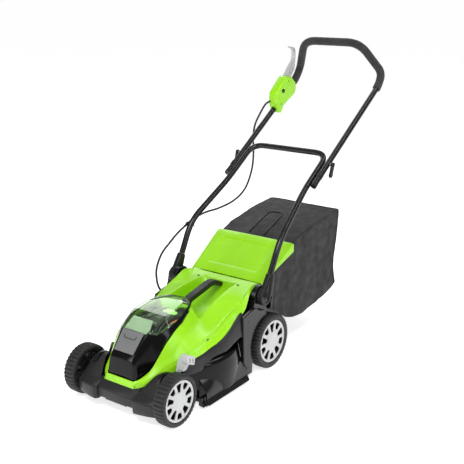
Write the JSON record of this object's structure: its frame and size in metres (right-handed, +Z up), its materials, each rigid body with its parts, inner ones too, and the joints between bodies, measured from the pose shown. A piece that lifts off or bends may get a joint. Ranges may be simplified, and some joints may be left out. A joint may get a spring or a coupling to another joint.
{
  "type": "push lawn mower",
  "caption": "Cordless push lawn mower with folding tubular handle, green covers, hinged battery door, rear flap, fabric grass bag and cranked axles for cutting height.",
  "frame": {"origin": "on the ground under the middle of the bounding box", "axes": "+Z up, -Y is the front (the nose), +Y towards the person pushing, +X towards the side with the height lever"},
  "size_m": [0.4086, 1.2754, 0.995],
  "materials": {
    "green_plastic": "satin",
    "black_plastic": "satin",
    "black_gloss": "gloss",
    "grey_plastic": "satin",
    "silver_plastic": "satin",
    "tyre_rubber": "matte",
    "steel": "satin",
    "motor_metal": "satin",
    "black_tube": "black powder coat",
    "foam": "matte",
    "clear_window": "gloss",
    "bag_fabric": "woven",
    "key_red": "satin",
    "battery_case": "satin",
    "cable": "matte"
  },
  "bodies": {
    "chassis": {"deck_housing": "black_gloss", "front_bumper": "black_plastic", "top_cover": "green_plastic", "side_bracket_left": "black_plastic", "side_bracket_right": "black_plastic", "battery_bay": "black_plastic", "motor_can": "motor_metal", "controller_box": "grey_plastic", "carry_grip": "black_plastic", "flap_hinge_pin": "steel", "flap_spring": "steel", "door_hinge_pin": "steel", "cable_gland": "black_plastic"},
    "blade_rotor": {"motor_shaft": "steel", "blade_adapter": "grey_plastic", "blade": "steel", "blade_bolt": "steel"},
    "front_axle": {"front_axle": "steel", "height_lever": "silver_plastic"},
    "rear_axle": {"rear_axle": "steel"},
    "height_link": {"height_link": "steel"},
    "battery_door": {"door_frame": "black_gloss", "door_window": "clear_window", "door_inlay": "grey_plastic"},
    "battery": {"battery_pack": "battery_case"},
    "safety_key": {"safety_key": "key_red"},
    "rear_flap": {"rear_flap": "green_plastic"},
    "grass_bag": {"bag_fabric": "bag_fabric", "bag_mouth_frame": "black_plastic", "bag_frame": "steel", "bag_handle": "black_tube"},
    "lower_handle": {"lower_handle_tube": "black_tube", "handle_socket_left": "black_plastic", "handle_socket_right": "black_plastic", "cable_clip": "black_plastic", "cable_lower": "cable"},
    "base_lever_left": {"base_lever_left": "black_plastic"},
    "base_lever_right": {"base_lever_right": "black_plastic"},
    "upper_handle": {"upper_handle_tube": "black_tube", "foam_grip": "foam", "switch_box": "green_plastic", "joint_bolt_left": "steel", "joint_bolt_right": "steel", "cable_upper": "cable"},
    "joint_lever_left": {"joint_lever_left": "black_plastic"},
    "joint_lever_right": {"joint_lever_right": "black_plastic"},
    "bail": {"bail_lever": "silver_plastic"},
    "lock_button": {"lock_button": "black_plastic"},
    "wheel_front_left": {"tyre_front_left": "tyre_rubber", "wheel_core_front_left": "black_plastic", "hubcap_front_left": "silver_plastic"},
    "wheel_front_right": {"tyre_front_right": "tyre_rubber", "wheel_core_front_right": "black_plastic", "hubcap_front_right": "silver_plastic"},
    "wheel_rear_left": {"tyre_rear_left": "tyre_rubber", "wheel_core_rear_left": "black_plastic", "hubcap_rear_left": "silver_plastic"},
    "wheel_rear_right": {"tyre_rear_right": "tyre_rubber", "wheel_core_rear_right": "black_plastic", "hubcap_rear_right": "silver_plastic"}
  },
  "joints": [
    {"name": "blade_spin", "type": "hinge", "parent": "chassis", "child": "blade_rotor", "pos_m": [0, -0.329, 0.04], "axis": [0, 0, 1], "continuous": true},
    {"name": "height_adjust", "type": "hinge", "parent": "chassis", "child": "front_axle", "pos_m": [0, -0.52013, 0.05878], "axis": [1, 0, 0], "range_deg": [0, 45]},
    {"name": "rear_height", "type": "hinge", "parent": "chassis", "child": "rear_axle", "pos_m": [0, -0.05473, 0.07178], "axis": [1, 0, 0], "range_deg": [0, 45]},
    {"name": "link_swing", "type": "hinge", "parent": "front_axle", "child": "height_link", "pos_m": [-0.13, -0.4876, 0.13731], "axis": [1, 0, 0], "range_deg": [-45, 0]},
    {"name": "wheel_front_left_spin", "type": "hinge", "parent": "front_axle", "child": "wheel_front_left", "pos_m": [0.173, -0.5617, 0.076], "axis": [1, 0, 0], "continuous": true},
    {"name": "wheel_front_right_spin", "type": "hinge", "parent": "front_axle", "child": "wheel_front_right", "pos_m": [-0.173, -0.5617, 0.076], "axis": [1, 0, 0], "continuous": true},
    {"name": "wheel_rear_left_spin", "type": "hinge", "parent": "rear_axle", "child": "wheel_rear_left", "pos_m": [0.173, -0.0963, 0.089], "axis": [1, 0, 0], "continuous": true},
    {"name": "wheel_rear_right_spin", "type": "hinge", "parent": "rear_axle", "child": "wheel_rear_right", "pos_m": [-0.173, -0.0963, 0.089], "axis": [1, 0, 0], "continuous": true},
    {"name": "door_open", "type": "hinge", "parent": "chassis", "child": "battery_door", "pos_m": [0, -0.317, 0.25], "axis": [-1, 0, 0], "range_deg": [0, 75]},
    {"name": "battery_lift", "type": "slide", "parent": "chassis", "child": "battery", "axis": [0, 0, 1], "range_m": [0, 0.008]},
    {"name": "key_pull", "type": "slide", "parent": "chassis", "child": "safety_key", "axis": [0, 0, 1], "range_m": [0, 0.008]},
    {"name": "flap_open", "type": "hinge", "parent": "chassis", "child": "rear_flap", "pos_m": [0, -0.0885, 0.2645], "axis": [1, 0, 0], "range_deg": [0, 70], "stiffness_Nm_per_rad": 0.3, "springref_deg": -17.19},
    {"name": "bag_slide", "type": "slide", "parent": "chassis", "child": "grass_bag", "axis": [0, 1, 0], "range_m": [0, 0.22]},
    {"name": "lower_fold", "type": "hinge", "parent": "chassis", "child": "lower_handle", "pos_m": [0, -0.1295, 0.25], "axis": [1, 0, 0], "range_deg": [0, 122], "deforming": ["cable_lower"]},
    {"name": "upper_fold", "type": "hinge", "parent": "lower_handle", "child": "upper_handle", "pos_m": [0, 0.249, 0.6035], "axis": [-1, 0, 0], "range_deg": [-150, 0], "deforming": ["cable_upper"]},
    {"name": "base_lever_left_turn", "type": "hinge", "parent": "lower_handle", "child": "base_lever_left", "pos_m": [0.1992, -0.1295, 0.25], "axis": [0, 1, 0], "range_deg": [0, 95]},
    {"name": "joint_lever_left_turn", "type": "hinge", "parent": "upper_handle", "child": "joint_lever_left", "pos_m": [0.1943, 0.249, 0.6035], "axis": [0, -1, 0], "range_deg": [0, 95]},
    {"name": "base_lever_right_turn", "type": "hinge", "parent": "lower_handle", "child": "base_lever_right", "pos_m": [-0.1992, -0.1295, 0.25], "axis": [0, 1, 0], "range_deg": [0, 95]},
    {"name": "joint_lever_right_turn", "type": "hinge", "parent": "upper_handle", "child": "joint_lever_right", "pos_m": [-0.1943, 0.249, 0.6035], "axis": [0, 1, 0], "range_deg": [0, 95]},
    {"name": "bail_squeeze", "type": "hinge", "parent": "upper_handle", "child": "bail", "pos_m": [-0.175, 0.539, 0.822], "axis": [-1, 0, 0], "range_deg": [0, 8.5], "stiffness_Nm_per_rad": 0.8, "springref_deg": -8.59},
    {"name": "lock_press", "type": "slide", "parent": "upper_handle", "child": "lock_button", "axis": [-1, 0, 0], "range_m": [0, 0.0025], "stiffness_N_per_m": 200, "springref_m": -0.002}
  ],
  "couplings": [
    {"joint": "rear_height", "follows": "height_adjust", "ratio": 1},
    {"joint": "link_swing", "follows": "height_adjust", "ratio": -1}
  ]
}
